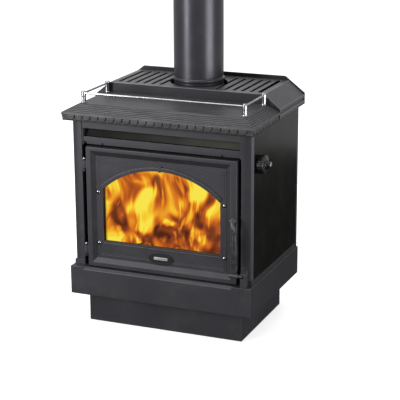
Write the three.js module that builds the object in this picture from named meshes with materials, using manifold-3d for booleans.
// Freestanding wood burning stove: cast hob top with a chrome pot rail, enamelled convection
// cabinet, steel firebox lined with bricks, and one cast door with an arched window.
// Millimetres, +Z up, the door faces -Y. The design is drawn with x = 0 in the middle of the
// cabinet, y = 0 on the crest of the front pillars and z = 0 on the floor, and the finished
// group is moved so that the origin is under the middle of its bounding box.
import * as THREE from 'three';
import { mergeVertices } from 'three/addons/utils/BufferGeometryUtils.js';
import Module from 'manifold-3d';

const wasm = await Module();
wasm.setup();

// ---------------------------------------------------------------- driving dimensions

const GAP = 0.3; // clearance between pieces that touch
const SHEET = 3; // thickness of folded steel sheet

const CABINET_HALF = 285;
const CABINET_REAR = 404;
const CABINET_BOTTOM = 197;
const CROWN_BOTTOM = 637;

const PLINTH = { half: 248, front: 17, rear: 356 };
const PLINTH_FLANGE = 30;
const SKIRT = { half: 289, front: -24, rear: 406, bottom: 95, top: 182 };
const SCOOP = { size: 7, left: -246, right: 230 }; // sloping cut along the skirt's top front edge
const SKIRT_SLOT = { inner: 250, outer: 263, front: 60, rear: 340 };

const PILLAR = { inner: 251, shoulder: 279, bevel: 6, back: 14 };
const PANEL_REAR = 391;
const REAR_SHEET = { half: 272.7, front: 398, slotPitch: 50, slotWidth: 8, slotHeight: 40 };
const REAR_SLOT_ROWS = [240, 560];

const FIREBOX = { half: 232, front: 32.6, rear: 366, bottom: SKIRT.top + GAP, top: 596, wall: 5 };
const FRONT_PLATE = { half: 252, front: 26.3, back: 32.3 };
const FUEL_MOUTH = { half: 200, bottom: 220, top: 522 };
const BRICK = 25;
const BRICK_TOP = 440;
const BAFFLE = { z: 500, thick: 12, front: 118 };
const AIR_TUBE = { radius: 12.5, wall: 2, y: 140, jet: 3, jetPitch: 60 };
const AIR_WASH = { half: 195, top: 558, bottom: 530, rear: 62, sheet: 2 };
const DUCT = { outer: 276, front: 34, rear: 60, bottom: 440, top: 600, wall: 2 };

const CROWN = { half: 300, front: -36, seam: 190, rear: 412.7 };
const FASCIA_TOP = 655;
const HOB_Z = 678;
const HOB_INSET = 42; // from the casting's edge in to the flat hob
const RIDGES = 5;
const DENTIL_PITCH = 25.4;
const CASTING_WALL = 8;
const CASTING_LEDGE = 26; // width of the castings' bottom ledge, which rests on the cabinet

const DECK = { z: 707, half: 249, eaves: 666 };
const SLOT_WIDTH = 11;
const SLOT_PITCH = 27.4;
const FIRST_SLOT = 90;
const SLOT_FRONT = 216;
const SLOT_REAR = 388;
const UPSTAND = { z: 719, half: 237, eaves: 671, front: 413, rear: 417 };

const FLUE = { y: 297, radius: 75.5, wall: 2, bottom: 700, top: 1000 };
const FLUE_HOLE = 87;
const SPIGOT = { outer: 73, inner: 69, top: 760, flange: 12, collar: 4 };

const RAIL = { half: 252, front: 23, rear: 180, z: 705.5, radius: 3 };
const POST_RADIUS = 7.3;
const POST_TOP = 713;

const DOOR = { half: 241, hingeSide: -236, bottom: 185, top: 553, front: -8, back: 22 };
const DOOR_MOUTH = { half: 207, bottom: 213, top: 527 }; // inner edge of the door's bevel
const DOOR_BEVEL = 14;
const WINDOW = { half: 187, bottom: 266, spring: 424, crown: 497 };
const ARCH_BAND = 13;
const BOLT_X = 200.5;
const BOLT_ROWS = { lower: 258.5, upper: 416.5 };
const BADGE_Z = 232;
const GLASS = { half: 197, bottom: 254, top: 511, front: 11.6, thick: 5 };

const HINGE = { x: -243.5, y: -2, pin: 3.5, knuckle: 6 };
const HINGE_ROWS = { lower: 223, upper: 486 }; // bottom of each door knuckle
const KNUCKLE_HEIGHT = 23;

const HANDLE = { x: 231, z: 378, gripX: 241.5, gripY: -31, gripBottom: 246, gripTop: 352 };
const CATCH = { y: -15, z: 214 };
const KNOB = { y: 47, z: 537, rim: 27.5, tip: 325, spindle: 4 };
const HEADER = {
  half: 250, bottom: 557, band: 565, slotBottom: 580.5, slotTop: 606, lip: 2, face: 4, recess: 12,
};
const HEADER_NOTCH = { x: 189, half: 3, height: 5 };

// ---------------------------------------------------------------- materials

function finish(color, roughness, metalness) {
  return new THREE.MeshStandardMaterial({ color, roughness, metalness });
}

const STOVE_PAINT = finish(0x3b3b40, 0.55, 0.3);
const ENAMEL = finish(0x0b0c0b, 0.12, 0.0);
const CAST_IRON = finish(0x36363a, 0.62, 0.4);
const CHROME = finish(0xd8dade, 0.08, 1.0);
const STEEL = finish(0x8a8a8c, 0.4, 0.9);
const FIREBRICK = finish(0xb9a27c, 0.95, 0.0);
const ROPE = finish(0xcfcabb, 0.95, 0.0);
const BLACK_GRIP = finish(0x1c1c1e, 0.45, 0.1);
const CLEAR_GLASS = new THREE.MeshStandardMaterial({
  color: 0xe8dcc8, roughness: 0.05, metalness: 0, transparent: true, opacity: 0.25,
});

// ---------------------------------------------------------------- solids

// Turns a closed geometry into a solid that can be joined and cut.
function solid(geometry) {
  geometry.deleteAttribute('normal');
  geometry.deleteAttribute('uv');
  const merged = mergeVertices(geometry);
  return new wasm.Manifold(new wasm.Mesh({
    numProp: 3,
    vertProperties: new Float32Array(merged.attributes.position.array),
    triVerts: new Uint32Array(merged.index.array),
  }));
}

function join(...solids) {
  return solids.reduce((whole, next) => whole.add(next));
}

function cut(whole, ...tools) {
  return tools.reduce((rest, tool) => rest.subtract(tool), whole);
}

function block([x0, x1], [y0, y1], [z0, z1]) {
  const geometry = new THREE.BoxGeometry(x1 - x0, y1 - y0, z1 - z0);
  geometry.translate((x0 + x1) / 2, (y0 + y1) / 2, (z0 + z1) / 2);
  return solid(geometry);
}

// A block whose face at `far` along an axis is resized: each end is [[lo, hi], [lo, hi]].
function taper(axis, near, nearSides, far, farSides) {
  const geometry = new THREE.BoxGeometry(1, 1, 1);
  const position = geometry.attributes.position;
  const others = [0, 1, 2].filter((index) => index !== axis);
  for (let i = 0; i < position.count; i += 1) {
    const atFar = position.getComponent(i, axis) > 0;
    const sides = atFar ? farSides : nearSides;
    others.forEach((other, side) => {
      const high = position.getComponent(i, other) > 0 ? 1 : 0;
      position.setComponent(i, other, sides[side][high]);
    });
    position.setComponent(i, axis, atFar ? far : near);
  }
  return solid(geometry);
}

function outline(points) {
  return new THREE.Shape(points.map(([a, b]) => new THREE.Vector2(a, b)));
}

const ARC_STEPS = 28;

function extruded(shape, depth) {
  return new THREE.ExtrudeGeometry(shape, { depth, bevelEnabled: false, curveSegments: ARC_STEPS });
}

// An outline in x and z, thick along y.
function plate(shape, [y0, y1]) {
  return solid(extruded(shape, y1 - y0).rotateX(Math.PI / 2).translate(0, y1, 0));
}

// An outline in y and z, long along x.
function section(shape, [x0, x1]) {
  return solid(extruded(shape, x1 - x0).rotateX(Math.PI / 2).rotateZ(Math.PI / 2).translate(x0, 0, 0));
}

// An outline in x and y, tall along z.
function column(shape, [z0, z1]) {
  return solid(extruded(shape, z1 - z0).translate(0, 0, z0));
}

// Turns geometry made about the y axis to lie about the x, y or z axis.
function aim(geometry, axis) {
  if (axis === 'x') return geometry.rotateZ(-Math.PI / 2);
  if (axis === 'z') return geometry.rotateX(Math.PI / 2);
  return geometry;
}

// A round bar from `start` to `end` along an axis, centred on `centre` in the other two.
function rod(axis, centre, radius, [start, end], sides = 24) {
  const geometry = new THREE.CylinderGeometry(radius, radius, end - start, sides);
  geometry.translate(0, (start + end) / 2, 0);
  return solid(aim(geometry, axis).translate(...centre));
}

// A turned piece: `profile` lists [radius, position along the axis] and starts and ends on it.
function turned(axis, centre, profile, sides = 24) {
  const points = profile.map(([radius, along]) => new THREE.Vector2(radius, along));
  return solid(aim(new THREE.LatheGeometry(points, sides), axis).translate(...centre));
}

function rectangle({ half, bottom, top }, grow = 0) {
  return outline([
    [-half - grow, bottom - grow], [half + grow, bottom - grow],
    [half + grow, top + grow], [-half - grow, top + grow],
  ]);
}

// An upright opening with a segmental arch on top.
function archway({ half, bottom, spring, crown }, grow = 0) {
  const rise = crown - spring;
  const radius = (half * half + rise * rise) / (2 * rise);
  const centre = crown - radius;
  const springAngle = Math.atan2(spring - centre, half);
  const shape = new THREE.Shape();
  shape.moveTo(-half - grow, bottom - grow);
  shape.lineTo(half + grow, bottom - grow);
  shape.absarc(0, centre, radius + grow, springAngle, Math.PI - springAngle, false);
  shape.closePath();
  return shape;
}

// ---------------------------------------------------------------- scene graph helpers

function add(group, name, shape, material) {
  const mesh = shape.getMesh();
  const geometry = new THREE.BufferGeometry();
  geometry.setAttribute('position', new THREE.BufferAttribute(mesh.vertProperties, mesh.numProp));
  geometry.setIndex(new THREE.BufferAttribute(mesh.triVerts, 1));
  geometry.computeVertexNormals();
  const piece = new THREE.Mesh(geometry, material);
  piece.name = name;
  group.add(piece);
}

function mirrored(shape) {
  return shape.mirror([1, 0, 0]);
}

function both(value) {
  return [-value, value];
}

// ---------------------------------------------------------------- base

// Hollow pedestal that stands on the floor on an inward flange with four floor bolt holes.
function plinth() {
  const top = SKIRT.top - SHEET - GAP;
  const { half, front, rear } = PLINTH;
  const inside = block(both(half - SHEET), [front + SHEET, rear - SHEET], [SHEET, top - SHEET]);
  const mouthDepth = [front + PLINTH_FLANGE, rear - PLINTH_FLANGE];
  const mouth = block(both(half - PLINTH_FLANGE), mouthDepth, [-1, SHEET + 1]);
  const holes = [];
  for (const x of both(half - PLINTH_FLANGE / 2)) {
    for (const y of [front + PLINTH_FLANGE / 2, rear - PLINTH_FLANGE / 2]) {
      holes.push(rod('z', [x, y, 0], 5, [-1, SHEET + 1], 20));
    }
  }
  return cut(block(both(half), [front, rear], [0, top]), inside, mouth, ...holes);
}

function scoop(grow) {
  const { front, top } = SKIRT;
  const reach = SCOOP.size + grow + 1;
  const shape = outline([[front - 1, top + 1], [front - 1, top - reach], [front + reach, top + 1]]);
  return section(shape, [SCOOP.left - grow, SCOOP.right + grow]);
}

// Inverted tray that the cabinet stands on, open below, with air slots through its top.
function baseSkirt() {
  const { half, front, rear, bottom, top } = SKIRT;
  const outside = cut(
    block(both(half), [front, rear], [bottom, top]),
    scoop(0),
  );
  const inside = cut(
    block(both(half - SHEET), [front + SHEET, rear - SHEET], [bottom - 1, top - SHEET]),
    scoop(SHEET),
  );
  const { inner, outer } = SKIRT_SLOT;
  const slot = block([inner, outer], [SKIRT_SLOT.front, SKIRT_SLOT.rear], [top - SHEET - 1, top + 1]);
  return cut(outside, inside, slot, mirrored(slot));
}

// Three sided bottom rail of the cabinet; the front is left free for the door.
function cabinetBaseFrame() {
  const heights = [SKIRT.top + GAP, CABINET_BOTTOM];
  const side = join(
    block([SKIRT_SLOT.outer + 1, CABINET_HALF], [0, CABINET_REAR], heights),
    block([PILLAR.inner, CABINET_HALF], [0, PILLAR.back], heights),
  );
  const rear = block(both(CABINET_HALF), [CABINET_REAR - 24, CABINET_REAR], heights);
  return join(side, mirrored(side), rear);
}

// ---------------------------------------------------------------- cabinet

const CABINET_HEIGHT = [CABINET_BOTTOM + GAP, CROWN_BOTTOM - GAP];

// Cast corner pillar: flat beside the door, curving back to a narrow bevel on its outer corner.
function pillar() {
  const { inner, shoulder, bevel, back } = PILLAR;
  const shape = new THREE.Shape();
  shape.moveTo(inner, back);
  shape.lineTo(inner, 0);
  shape.quadraticCurveTo(inner + 17, 0, shoulder, bevel);
  shape.lineTo(CABINET_HALF, 2 * bevel);
  shape.lineTo(CABINET_HALF, back);
  shape.closePath();
  return column(shape, CABINET_HEIGHT);
}

function sidePanel() {
  return block([CABINET_HALF - SHEET, CABINET_HALF], [PILLAR.back + GAP, PANEL_REAR], CABINET_HEIGHT);
}

function knobHole() {
  const reach = [CABINET_HALF - SHEET - 1, CABINET_HALF + 1];
  return rod('x', [0, KNOB.y, KNOB.z], KNOB.spindle + 0.5, reach, 20);
}

function rearCorner() {
  return block([REAR_SHEET.half + GAP, CABINET_HALF], [PANEL_REAR + GAP, CABINET_REAR], CABINET_HEIGHT);
}

// Back of the cabinet, with a row of air slots near the bottom and one near the top.
function rearPanel() {
  const { half, front, slotPitch, slotWidth, slotHeight } = REAR_SHEET;
  const slots = [];
  for (const z of REAR_SLOT_ROWS) {
    for (let index = -4; index <= 4; index += 1) {
      const x = index * slotPitch - slotWidth / 2;
      slots.push(block([x, x + slotWidth], [front - 1, front + SHEET + 1], [z, z + slotHeight]));
    }
  }
  return cut(block(both(half), [front, front + SHEET], CABINET_HEIGHT), ...slots);
}

// Panel over the door: an upper lip, an open warm air slot, a lower band and a set-back strip.
function headerPanel() {
  const { half, bottom, band, slotBottom, slotTop, lip, face, recess } = HEADER;
  const top = CROWN_BOTTOM - GAP;
  const rear = FRONT_PLATE.front - GAP;
  const upper = join(
    block(both(half), [lip, lip + SHEET], [slotTop, top]),
    block(both(half), [lip, lip + 8], [slotTop, slotTop + SHEET]),
  );
  const lower = join(
    block(both(half), [face, face + SHEET], [band, slotBottom]),
    block(both(half), [face, recess], [slotBottom - SHEET, slotBottom]),
    block(both(half), [face, recess + SHEET], [band, band + SHEET]),
    block(both(half), [recess, recess + SHEET], [bottom, band + SHEET]),
    block(both(half), [recess, rear], [bottom, bottom + SHEET]),
  );
  const cheek = block([half - SHEET, half], [lip, rear], [bottom, top]);
  const notches = both(HEADER_NOTCH.x).map((x) => {
    const width = [x - HEADER_NOTCH.half, x + HEADER_NOTCH.half];
    return block(width, [recess - 1, recess + SHEET + 1], [bottom - 1, bottom + HEADER_NOTCH.height]);
  });
  return cut(join(upper, lower, cheek, mirrored(cheek)), ...notches);
}

// Glossy sloping plate behind the warm air slot.
function airOutletDeflector() {
  const { recess, slotBottom } = HEADER;
  const [low, high] = [slotBottom + 1, slotBottom + 45];
  const shape = outline([[recess, low], [recess + 2.5, low], [33, high], [30.5, high]]);
  return section(shape, both(HEADER.half - SHEET - GAP));
}

// ---------------------------------------------------------------- firebox

const AIR_TUBE_Z = BAFFLE.z - AIR_TUBE.radius - GAP;

// Welded steel box, open in front, with ledges for the baffle and holes for the flue and air.
function fireboxShell() {
  const { half, front, rear, bottom, top, wall } = FIREBOX;
  const inside = block(both(half - wall), [front - 1, rear - wall], [bottom + wall, top - wall]);
  const flueHole = rod('z', [0, FLUE.y, 0], SPIGOT.inner, [top - wall - 1, top + 1], 40);
  const { radius, y } = AIR_TUBE;
  const tubeHole = rod('x', [0, y, AIR_TUBE_Z], radius + GAP, both(half + 1));
  const ledgeDepth = [y + radius + 5, rear - wall];
  const ledge = block([half - wall - 10, half - wall], ledgeDepth, [BAFFLE.z - 8, BAFFLE.z - GAP]);
  const box = cut(block(both(half), [front, rear], [bottom, top]), inside, flueHole, tubeHole, airPort());
  return join(box, ledge, mirrored(ledge));
}

// Way from the air duct through the firebox wall.
function airPort() {
  const { half, wall } = FIREBOX;
  const heights = [DUCT.top - 36, DUCT.top - 12];
  return block([half - wall - 1, half + GAP + DUCT.wall + 1], [DUCT.front + 4, DUCT.rear - 4], heights);
}

// Face of the firebox that the door's rope seal closes on.
function fireboxFrontPlate() {
  const { half, front, back } = FRONT_PLATE;
  const mouth = plate(rectangle(FUEL_MOUTH), [front - 1, back + 1]);
  return cut(block(both(half), [front, back], [FIREBOX.bottom, FIREBOX.top]), mouth);
}

const HEARTH_Z = FIREBOX.bottom + FIREBOX.wall + GAP;
const WALL_BRICK_Z = [HEARTH_Z + BRICK + GAP, BRICK_TOP];
const CHAMBER_HALF = FIREBOX.half - FIREBOX.wall - GAP;
const CHAMBER_REAR = FIREBOX.rear - FIREBOX.wall - GAP;

function sideBrick() {
  return block([CHAMBER_HALF - BRICK, CHAMBER_HALF], [40, CHAMBER_REAR], WALL_BRICK_Z);
}

function rearBrick() {
  return block(both(CHAMBER_HALF - BRICK - GAP), [CHAMBER_REAR - BRICK, CHAMBER_REAR], WALL_BRICK_Z);
}

function floorBrick() {
  return block([GAP / 2, CHAMBER_HALF], [38, CHAMBER_REAR], [HEARTH_Z, HEARTH_Z + BRICK]);
}

// Tube through both firebox walls, with a row of jets below, that carries the baffle's front.
function secondaryAirTube() {
  const { radius, wall, y, jet, jetPitch } = AIR_TUBE;
  const centre = [0, y, AIR_TUBE_Z];
  const jets = [];
  for (let index = -3; index <= 3; index += 1) {
    jets.push(rod('z', [index * jetPitch, y, 0], jet, [AIR_TUBE_Z - radius - 1, AIR_TUBE_Z], 8));
  }
  const bore = rod('x', centre, radius - wall, both(FIREBOX.half + 3));
  return cut(rod('x', centre, radius, both(FIREBOX.half + 2)), bore, ...jets);
}

function bafflePlate() {
  return block(both(CHAMBER_HALF), [BAFFLE.front, CHAMBER_REAR], [BAFFLE.z, BAFFLE.z + BAFFLE.thick]);
}

// Folded channel that sends a curtain of air down the inside of the glass.
function airWashChannel() {
  const { half, top, bottom, rear, sheet } = AIR_WASH;
  const front = FRONT_PLATE.back + GAP;
  const lip = front + 12;
  const shape = outline([
    [front, top], [rear, top], [rear, bottom], [lip, bottom], [lip, bottom + sheet],
    [rear - sheet, bottom + sheet], [rear - sheet, top - sheet], [front + sheet, top - sheet],
    [front + sheet, bottom], [front, bottom],
  ]);
  return section(shape, both(half));
}

// Upright duct on the firebox wall, open below, that holds the air flap.
function airDuct() {
  const { outer, front, rear, bottom, top, wall } = DUCT;
  const inner = FIREBOX.half + GAP;
  const inside = block([inner + wall, outer - wall], [front + wall, rear - wall], [bottom - 1, top - wall]);
  const bearing = rod('x', [0, KNOB.y, KNOB.z], KNOB.spindle + 0.5, [outer - wall - 1, outer + 1], 20);
  return cut(block([inner, outer], [front, rear], [bottom, top]), inside, bearing, airPort());
}

// ---------------------------------------------------------------- top castings

const MOUTH_HEIGHT = [CROWN_BOTTOM - 1, CROWN_BOTTOM + CASTING_WALL + 1];

// The front casting's outline at a height, drawn in from its edge on three sides.
function hippedLayer(inset, rearY) {
  return [both(CROWN.half - inset), [CROWN.front + inset, rearY]];
}

// Hollow cast hob: a dentilled fascia, then shallow ridges stepping up to the flat hob.
function frontTopCasting() {
  const rear = CROWN.seam - GAP;
  const tread = (HOB_INSET - 2) / RIDGES;
  const climb = (HOB_Z - FASCIA_TOP - 2) / RIDGES;
  const layers = [
    block(...hippedLayer(0, rear), [CROWN_BOTTOM, CROWN_BOTTOM + 2.5]),
    block(...hippedLayer(1.5, rear), [CROWN_BOTTOM, FASCIA_TOP]),
    block(...hippedLayer(0, rear), [FASCIA_TOP - 4, FASCIA_TOP]),
  ];
  for (let ridge = 0; ridge < RIDGES; ridge += 1) {
    const inset = 2 + ridge * tread;
    const foot = FASCIA_TOP + 2 + ridge * climb;
    layers.push(block(...hippedLayer(inset, rear), [CROWN_BOTTOM, foot]));
    const [wide, narrow] = [hippedLayer(inset, rear), hippedLayer(inset + tread, rear)];
    layers.push(taper(2, foot - 1, wide, foot + climb * 0.6, narrow));
  }
  layers.push(block(...hippedLayer(HOB_INSET, rear), [CROWN_BOTTOM, HOB_Z]));
  const wallRear = rear - CASTING_WALL;
  const mouth = block(...hippedLayer(CASTING_LEDGE, wallRear), MOUTH_HEIGHT);
  const hollow = taper(
    2, CROWN_BOTTOM + CASTING_WALL, hippedLayer(CASTING_WALL + 1, wallRear),
    HOB_Z - CASTING_WALL, hippedLayer(HOB_INSET, wallRear),
  );
  return cut(join(...layers), mouth, hollow, ...dentilNotches(rear));
}

// Notches between the dentils, along the front between the pillars and along both sides.
function dentilNotches(rear) {
  const notches = [];
  const heights = [CROWN_BOTTOM + 2.5, FASCIA_TOP - 4];
  const halfWidth = 2.7;
  const depth = 3.5;
  for (let index = -10; index <= 10; index += 1) {
    const x = index * DENTIL_PITCH;
    notches.push(block([x - halfWidth, x + halfWidth], [CROWN.front - 1, CROWN.front + depth], heights));
  }
  for (let y = CROWN.front + 30; y < rear - 10; y += DENTIL_PITCH) {
    const notch = block([CROWN.half - depth, CROWN.half + 1], [y - halfWidth, y + halfWidth], heights);
    notches.push(notch, mirrored(notch));
  }
  return notches;
}

function slotAt(x) {
  const radius = SLOT_WIDTH / 2;
  const heights = [DECK.z - 12, DECK.z + 1];
  return join(
    block([x - radius, x + radius], [SLOT_FRONT, SLOT_REAR], heights),
    rod('z', [x, SLOT_FRONT, 0], radius, heights, 12),
    rod('z', [x, SLOT_REAR, 0], radius, heights, 12),
  );
}

// An outline that is the same on both sides, from the points of its right side, lowest first.
function symmetric(right) {
  const left = right.map(([x, z]) => [-x, z]).reverse();
  return outline([...right, ...left]);
}

// Cross-section of the rear casting from its eaves, over a double lip, up to the deck.
function rearProfile() {
  return symmetric([
    [CROWN.half, CROWN_BOTTOM], [CROWN.half, 647], [CROWN.half - 4, 652.5], [CROWN.half, 658],
    [CROWN.half, DECK.eaves], [DECK.half, DECK.z],
  ]);
}

function rearHollowProfile() {
  const half = CROWN.half - CASTING_WALL - 3;
  return symmetric([
    [half, CROWN_BOTTOM + CASTING_WALL], [half, DECK.eaves - 4], [DECK.half - 3, DECK.z - CASTING_WALL],
  ]);
}

// Raised rear casting: smooth hipped sides and a deck pierced by warm air slots and the flue.
function rearTopCasting() {
  const front = CROWN.seam + GAP;
  const inside = [front + CASTING_WALL, CROWN.rear - CASTING_WALL];
  const whole = plate(rearProfile(), [front, CROWN.rear]);
  const mouth = block(both(CROWN.half - CASTING_LEDGE), inside, MOUTH_HEIGHT);
  const hollow = plate(rearHollowProfile(), inside);
  const slots = [];
  for (let index = 0; index < 6; index += 1) {
    const slot = slotAt(FIRST_SLOT + index * SLOT_PITCH);
    slots.push(slot, mirrored(slot));
  }
  const flueHole = rod('z', [0, FLUE.y, 0], FLUE_HOLE, [DECK.z - 20, DECK.z + 1], 56);
  return cut(whole, mouth, hollow, flueHole, ...slots);
}

// Plate behind the rear casting that stands proud of the deck and follows its hips.
function rearUpstand() {
  const shape = symmetric([
    [CROWN.half, CROWN_BOTTOM], [CROWN.half, UPSTAND.eaves], [UPSTAND.half, UPSTAND.z],
  ]);
  return plate(shape, [UPSTAND.front, UPSTAND.rear]);
}

// ---------------------------------------------------------------- flue

// Flanged collar on the firebox; its ring carries the lower end of the flue pipe.
function flueSpigot() {
  const { outer, inner, top, flange, collar } = SPIGOT;
  const base = FIREBOX.top + GAP;
  const stop = FLUE.bottom - GAP;
  const profile = [
    [0, base], [outer + flange, base], [outer + flange, base + 5], [outer, base + 5],
    [outer, stop - 4], [outer + collar, stop - 4], [outer + collar, stop], [outer, stop],
    [outer, top], [0, top],
  ];
  const centre = [0, FLUE.y, 0];
  return cut(turned('z', centre, profile, 40), rod('z', centre, inner, [base - 1, top + 1], 40));
}

// One length of flue pipe with a rolled bead near its lower end.
function fluePipe() {
  const { radius, wall, bottom, top } = FLUE;
  const [beadLow, beadHigh] = [bottom + 14, bottom + 24];
  const profile = [
    [0, bottom], [radius, bottom], [radius, beadLow], [radius + 3, beadLow + 3],
    [radius + 3, beadHigh - 3], [radius, beadHigh], [radius, top], [0, top],
  ];
  return cut(
    turned('z', [0, FLUE.y, 0], profile, 48),
    rod('z', [0, FLUE.y, 0], radius - wall, [bottom - 1, top + 1], 48),
  );
}

// ---------------------------------------------------------------- pot rail

function railPost(x, y, bars) {
  const foot = HOB_Z + GAP;
  const dome = POST_RADIUS * 0.55;
  const profile = [
    [0, foot], [POST_RADIUS + 0.8, foot], [POST_RADIUS + 0.8, foot + 2], [POST_RADIUS, foot + 3],
    [POST_RADIUS, POST_TOP - dome], [POST_RADIUS * 0.87, POST_TOP - dome * 0.5],
    [POST_RADIUS * 0.5, POST_TOP - dome * 0.13], [0, POST_TOP],
  ];
  const sockets = bars.map(([axis, start]) => {
    const reach = axis === 'x' ? [x, x + start] : [y, y + start];
    const centre = axis === 'x' ? [0, y, RAIL.z] : [x, 0, RAIL.z];
    return rod(axis, centre, RAIL.radius + GAP, [Math.min(...reach), Math.max(...reach)], 16);
  });
  return cut(turned('z', [x, y, 0], profile), ...sockets);
}

const BAR_INSERT = 2; // how far past a post's middle each bar stops short

function frontRail() {
  return rod('x', [0, RAIL.front, RAIL.z], RAIL.radius, both(RAIL.half - BAR_INSERT), 16);
}

function sideRail() {
  const span = [RAIL.front + BAR_INSERT + RAIL.radius + 2, RAIL.rear - BAR_INSERT];
  return rod('y', [RAIL.half, 0, RAIL.z], RAIL.radius, span, 16);
}

// ---------------------------------------------------------------- hinges and catches

function hingeBracket(knuckleBottom) {
  const top = knuckleBottom - GAP;
  const bottom = top - 10;
  const lug = rod('z', [HINGE.x, HINGE.y, 0], HINGE.knuckle, [bottom, top]);
  const arm = block([HINGE.x - 3, HINGE.x + 3], [HINGE.y, 26], [bottom, top]);
  const foot = block([HINGE.x - 3, HINGE.x + 15], [22.6, 26], [bottom - 8, top + 8]);
  const bore = rod('z', [HINGE.x, HINGE.y, 0], HINGE.pin + GAP, [bottom - 1, top + 1]);
  return cut(join(lug, arm, foot), bore);
}

// Drop-in pin with a ball head that rests on the door's knuckle.
function hingePin(knuckleBottom) {
  const seat = knuckleBottom + KNUCKLE_HEIGHT + GAP;
  const ball = 5.5;
  const profile = [[0, knuckleBottom - 10], [HINGE.pin, knuckleBottom - 9], [HINGE.pin, seat]];
  for (let step = 1; step < 9; step += 1) {
    const angle = -Math.PI / 2 + 0.69 + (step - 1) * 0.3;
    profile.push([ball * Math.cos(angle), seat + ball * 0.77 + ball * Math.sin(angle)]);
  }
  profile.push([0, seat + ball * 1.77]);
  return turned('z', [HINGE.x, HINGE.y, 0], profile);
}

function latchKeeper() {
  const shape = outline([[247.6, 26], [250.6, 26], [250.6, 12], [249.6, 12], [247.6, 20]]);
  return column(shape, [358, 398]);
}

// Cast rest on the skirt's ledge; its pocket is open to the front and towards the door.
function catchBracket() {
  const foot = SKIRT.top + GAP;
  const shape = outline([[-0.8, foot], [-0.8, 231], [-20, 222], [-20, foot]]);
  const pocket = block([250, 266], [-25, CATCH.y + 6], [CATCH.z - 6, CATCH.z + 6]);
  return cut(section(shape, [255.5, 274.5]), pocket);
}

// ---------------------------------------------------------------- air control

function knobBody() {
  const start = CABINET_HALF + 1;
  const { rim } = KNOB;
  const profile = [
    [0, start], [rim - 3, start], [rim - 1, start + 2], [rim, start + 14], [rim, start + 19],
    [rim - 3, start + 22], [rim - 12, start + 23.5], [12.5, start + 26], [11, start + 32],
    [9.5, start + 36], [0, start + 36],
  ];
  const socket = rod('x', [0, KNOB.y, KNOB.z], KNOB.spindle + GAP, [start - 1, start + 18]);
  return cut(turned('x', [0, KNOB.y, KNOB.z], profile, 32), socket);
}

function knobCap() {
  const start = CABINET_HALF + 37 + GAP;
  const profile = [[0, start], [7, start], [6.4, start + 1.4], [4, KNOB.tip - 0.4], [0, KNOB.tip]];
  return turned('x', [0, KNOB.y, KNOB.z], profile, 20);
}

// Butterfly flap in the air duct, on the spindle that carries the knob.
function airFlap() {
  const inner = FIREBOX.half + GAP + DUCT.wall + 2;
  const spindle = rod('x', [0, KNOB.y, KNOB.z], KNOB.spindle, [inner, CABINET_HALF + 18], 20);
  const width = [inner, DUCT.outer - DUCT.wall - 2];
  return join(spindle, block(width, [KNOB.y - 10, KNOB.y + 10], [KNOB.z - 0.8, KNOB.z + 0.8]));
}

// ---------------------------------------------------------------- door

function doorKnuckle(bottom) {
  const heights = [bottom, bottom + KNUCKLE_HEIGHT];
  return join(
    rod('z', [HINGE.x, HINGE.y, 0], HINGE.knuckle, heights),
    block([HINGE.x, DOOR.hingeSide + 2], [HINGE.y - 4, HINGE.y + 4], heights),
  );
}

// Cast outer frame: a flat band, a bevel down to the panel, a rebate and a rope channel behind.
function doorFrame() {
  const { front, back } = DOOR;
  const outer = block([DOOR.hingeSide, DOOR.half], [front, back], [DOOR.bottom, DOOR.top]);
  const { half, bottom, top } = DOOR_MOUTH;
  const flare = taper(
    1, front - 1, [both(half + DOOR_BEVEL), [bottom - DOOR_BEVEL, top + DOOR_BEVEL]],
    0, [both(half), [bottom, top]],
  );
  const mouth = plate(rectangle(DOOR_MOUTH), [-1, 6]);
  const rebate = plate(rectangle(DOOR_MOUTH, 2.6), [4.3, back + 1]);
  const channel = cut(
    plate(rectangle(DOOR_MOUTH, 16), [16, back + 1]),
    plate(rectangle(DOOR_MOUTH, 5), [15, back + 2]),
  );
  const knuckles = Object.values(HINGE_ROWS).map(doorKnuckle);
  const boss = rod('y', [HANDLE.x, 0, HANDLE.z], 10, [-15, front + 1], 28);
  const pinBores = rod('z', [HINGE.x, HINGE.y, 0], HINGE.pin + GAP, [DOOR.bottom, DOOR.top]);
  const spindleBore = rod('y', [HANDLE.x, 0, HANDLE.z], 4 + GAP, [-20, back + 1]);
  return cut(join(outer, boss, ...knuckles), flare, mouth, rebate, channel, pinBores, spindleBore);
}

function boltHoles() {
  return boltPlaces().map(([x, z]) => rod('y', [x, 0, z], 3, [-5, 25], 14));
}

function boltPlaces() {
  return both(BOLT_X).flatMap((x) => Object.values(BOLT_ROWS).map((z) => [x, z]));
}

// Cast panel with the arched window, a raised moulding over the arch and a small keystone.
function archedPanel() {
  const face = plate(rectangle(DOOR_MOUTH, -GAP), [0, 5]);
  const flange = plate(rectangle(DOOR_MOUTH, 2.6 - GAP), [4.6, 9]);
  const mould = plate(archway(WINDOW, ARCH_BAND), [-4, 1]);
  const below = block(both(260), [-10, 0], [200, WINDOW.spring]);
  const keystone = block(both(4.5), [-5.5, 1], [WINDOW.crown, WINDOW.crown + ARCH_BAND + 4]);
  const window = plate(archway(WINDOW), [-10, 10]);
  return cut(join(face, flange, cut(mould, below), keystone), window, ...boltHoles());
}

function doorGlass() {
  return plate(rectangle(GLASS), [GLASS.front, GLASS.front + GLASS.thick]);
}

function glassGasket() {
  return cut(plate(rectangle(GLASS), [9.3, 11.3]), plate(archway(WINDOW, 3), [9, 12]));
}

function glassRetainer() {
  const window = plate(rectangle({ half: 189, bottom: 262, top: 502 }), [16, 21]);
  return cut(plate(rectangle({ half: 208, bottom: 246, top: 518 }), [16.9, 19.9]), window, ...boltHoles());
}

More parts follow.
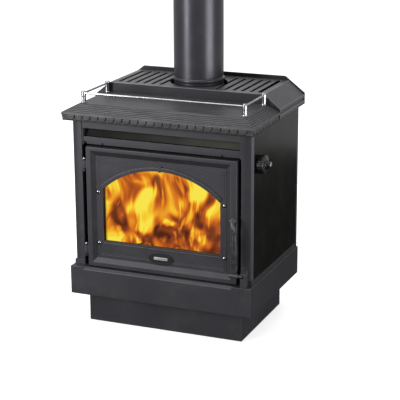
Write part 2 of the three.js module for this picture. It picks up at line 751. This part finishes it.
// Ceramic rope in the door's rear channel.
function doorRopeSeal() {
  return cut(
    plate(rectangle(DOOR_MOUTH, 16 - GAP), [16 + GAP, 26]),
    plate(rectangle(DOOR_MOUTH, 5 + GAP), [16, 27]),
  );
}

function glassBolt([x, z]) {
  const profile = [
    [0, -5.8], [3.2, -5.2], [5.1, -3.6], [6, -1.4], [6, -GAP], [2.5, -GAP], [2.5, 20.2],
    [4.6, 20.2], [4.6, 24], [0, 24],
  ];
  return turned('y', [x, 0, z], profile, 16);
}

// Blank oval plate with a raised rim and a plain raised bar.
function badgePlate() {
  const oval = (a, b, depths) => {
    const shape = new THREE.Shape();
    shape.absellipse(0, BADGE_Z, a, b, 0, Math.PI * 2);
    return plate(shape, depths);
  };
  return join(
    cut(oval(39, 18, [-3.2, -GAP]), oval(35.5, 14.5, [-4, -1.8])),
    block(both(24), [-3, -1], [BADGE_Z - 5.5, BADGE_Z + 5.5]),
  );
}

// Round pin at the door's lower corner that comes to rest in the bracket's pocket.
function catchPin() {
  const centre = [0, CATCH.y, CATCH.z];
  return join(
    rod('x', centre, 5.6, [219, 244]),
    rod('x', centre, 7, [244, 248]),
    rod('x', centre, 4, [248, 263]),
    block([223, 238], [CATCH.y, DOOR.front - GAP], [CATCH.z - 5.5, CATCH.z + 5.5]),
  );
}

// ---------------------------------------------------------------- door handle

// Crank from the spindle out and down to the grip.
function doorHandle() {
  const { x, z, gripX, gripY, gripTop } = HANDLE;
  const path = new THREE.CatmullRomCurve3([
    new THREE.Vector3(x, -17, z),
    new THREE.Vector3(x + 2, -25, z - 3),
    new THREE.Vector3(x + 7, gripY + 1, z - 13),
    new THREE.Vector3(gripX, gripY, gripTop + 4),
    new THREE.Vector3(gripX, gripY, gripTop - 12),
  ]);
  const circle = new THREE.Shape().absarc(0, 0, 5, 0, Math.PI * 2);
  const arm = solid(new THREE.ExtrudeGeometry(circle, {
    steps: 14, curveSegments: 6, bevelEnabled: false, extrudePath: path,
  }));
  const hub = turned('y', [x, 0, z], [[0, -25], [6, -24.5], [9, -22], [9.5, -15.3], [0, -15.3]], 28);
  const socket = rod('y', [x, 0, z], 4 + GAP, [-21, -14]);
  return cut(join(arm, hub), socket);
}

// Barrel shaped grip.
function handleGrip() {
  const { gripX, gripY, gripBottom, gripTop } = HANDLE;
  const length = gripTop - gripBottom;
  const profile = [[0, gripBottom]];
  for (let step = 0; step <= 8; step += 1) {
    const t = step / 8;
    profile.push([6.8 + 3.4 * Math.sin(Math.PI * (0.08 + 0.84 * t)), gripBottom + 1 + t * (length - 1)]);
  }
  profile.push([0, gripTop]);
  const socket = rod('z', [gripX, gripY, 0], 6, [gripTop - 14, gripTop + 1]);
  return cut(turned('z', [gripX, gripY, 0], profile, 20), socket);
}

// Spindle through the door with the latch cam on its inner end.
function latchCam() {
  const { x, z } = HANDLE;
  const spindle = rod('y', [x, 0, z], 4, [-20.5, 25.8]);
  const cam = outline([
    [x - 5.5, z - 5], [x + 6, z - 6.5], [x + 15, z - 4], [x + 15, z + 4], [x - 5.5, z + 6],
  ]);
  return join(spindle, plate(cam, [DOOR.back + GAP, 25.8]));
}

// ---------------------------------------------------------------- assembly

const base = new THREE.Group();
add(base, 'plinth', plinth(), STOVE_PAINT);
add(base, 'base_skirt', baseSkirt(), STOVE_PAINT);
add(base, 'cabinet_base_frame', cabinetBaseFrame(), STOVE_PAINT);

const cabinet = new THREE.Group();
add(cabinet, 'right_pillar', pillar(), STOVE_PAINT);
add(cabinet, 'left_pillar', mirrored(pillar()), STOVE_PAINT);
add(cabinet, 'right_side_panel', cut(sidePanel(), knobHole()), ENAMEL);
add(cabinet, 'left_side_panel', mirrored(sidePanel()), ENAMEL);
add(cabinet, 'right_rear_corner', rearCorner(), STOVE_PAINT);
add(cabinet, 'left_rear_corner', mirrored(rearCorner()), STOVE_PAINT);
add(cabinet, 'rear_panel', rearPanel(), STOVE_PAINT);
add(cabinet, 'header_panel', headerPanel(), STOVE_PAINT);
add(cabinet, 'air_outlet_deflector', airOutletDeflector(), ENAMEL);

const firebox = new THREE.Group();
add(firebox, 'firebox_shell', fireboxShell(), STEEL);
add(firebox, 'firebox_front_plate', fireboxFrontPlate(), STOVE_PAINT);
add(firebox, 'right_side_brick', sideBrick(), FIREBRICK);
add(firebox, 'left_side_brick', mirrored(sideBrick()), FIREBRICK);
add(firebox, 'rear_brick', rearBrick(), FIREBRICK);
add(firebox, 'right_floor_brick', floorBrick(), FIREBRICK);
add(firebox, 'left_floor_brick', mirrored(floorBrick()), FIREBRICK);
add(firebox, 'secondary_air_tube', secondaryAirTube(), STEEL);
add(firebox, 'baffle_plate', bafflePlate(), FIREBRICK);
add(firebox, 'air_wash_channel', airWashChannel(), STEEL);
add(firebox, 'air_duct', airDuct(), STEEL);

const topCastings = new THREE.Group();
add(topCastings, 'front_top_casting', frontTopCasting(), CAST_IRON);
add(topCastings, 'rear_top_casting', rearTopCasting(), CAST_IRON);
add(topCastings, 'rear_upstand', rearUpstand(), STOVE_PAINT);
add(topCastings, 'flue_spigot', flueSpigot(), STEEL);
add(topCastings, 'flue_pipe', fluePipe(), STOVE_PAINT);

const rail = new THREE.Group();
for (const [side, x] of [['left', -RAIL.half], ['right', RAIL.half]]) {
  const inward = -Math.sign(x) * 12;
  const bars = { front: [['x', inward], ['y', 12]], rear: [['y', -12]] };
  for (const [end, y] of [['front', RAIL.front], ['rear', RAIL.rear]]) {
    add(rail, `rail_post_${end}_${side}`, railPost(x, y, bars[end]), CHROME);
  }
}
add(rail, 'front_rail', frontRail(), CHROME);
add(rail, 'right_rail', sideRail(), CHROME);
add(rail, 'left_rail', mirrored(sideRail()), CHROME);

const fittings = new THREE.Group();
for (const [row, bottom] of Object.entries(HINGE_ROWS)) {
  add(fittings, `${row}_hinge_bracket`, hingeBracket(bottom), STOVE_PAINT);
  add(fittings, `${row}_hinge_pin`, hingePin(bottom), CHROME);
}
add(fittings, 'latch_keeper', latchKeeper(), STEEL);
add(fittings, 'catch_bracket', catchBracket(), STOVE_PAINT);

const airControl = new THREE.Group();
add(airControl, 'air_knob', knobBody(), BLACK_GRIP);
add(airControl, 'air_knob_cap', knobCap(), CHROME);
add(airControl, 'air_flap', airFlap(), STEEL);

const handle = new THREE.Group();
add(handle, 'door_handle', doorHandle(), CAST_IRON);
add(handle, 'handle_grip', handleGrip(), BLACK_GRIP);
add(handle, 'latch_cam', latchCam(), STEEL);

const door = new THREE.Group();
add(door, 'door_frame', doorFrame(), CAST_IRON);
add(door, 'arched_panel', archedPanel(), CAST_IRON);
add(door, 'door_glass', doorGlass(), CLEAR_GLASS);
add(door, 'glass_gasket', glassGasket(), ROPE);
add(door, 'glass_retainer', glassRetainer(), STEEL);
add(door, 'door_rope_seal', doorRopeSeal(), ROPE);
boltPlaces().forEach((place, index) => {
  add(door, `glass_bolt_${index + 1}`, glassBolt(place), CHROME);
});
add(door, 'badge_plate', badgePlate(), STEEL);
add(door, 'catch_pin', catchPin(), STEEL);
door.add(handle);

const stove = new THREE.Group();
stove.add(base, cabinet, firebox, topCastings, rail, fittings, airControl, door);
const middle = new THREE.Box3().setFromObject(stove).getCenter(new THREE.Vector3());
stove.position.set(-middle.x, -middle.y, 0);

export default stove;
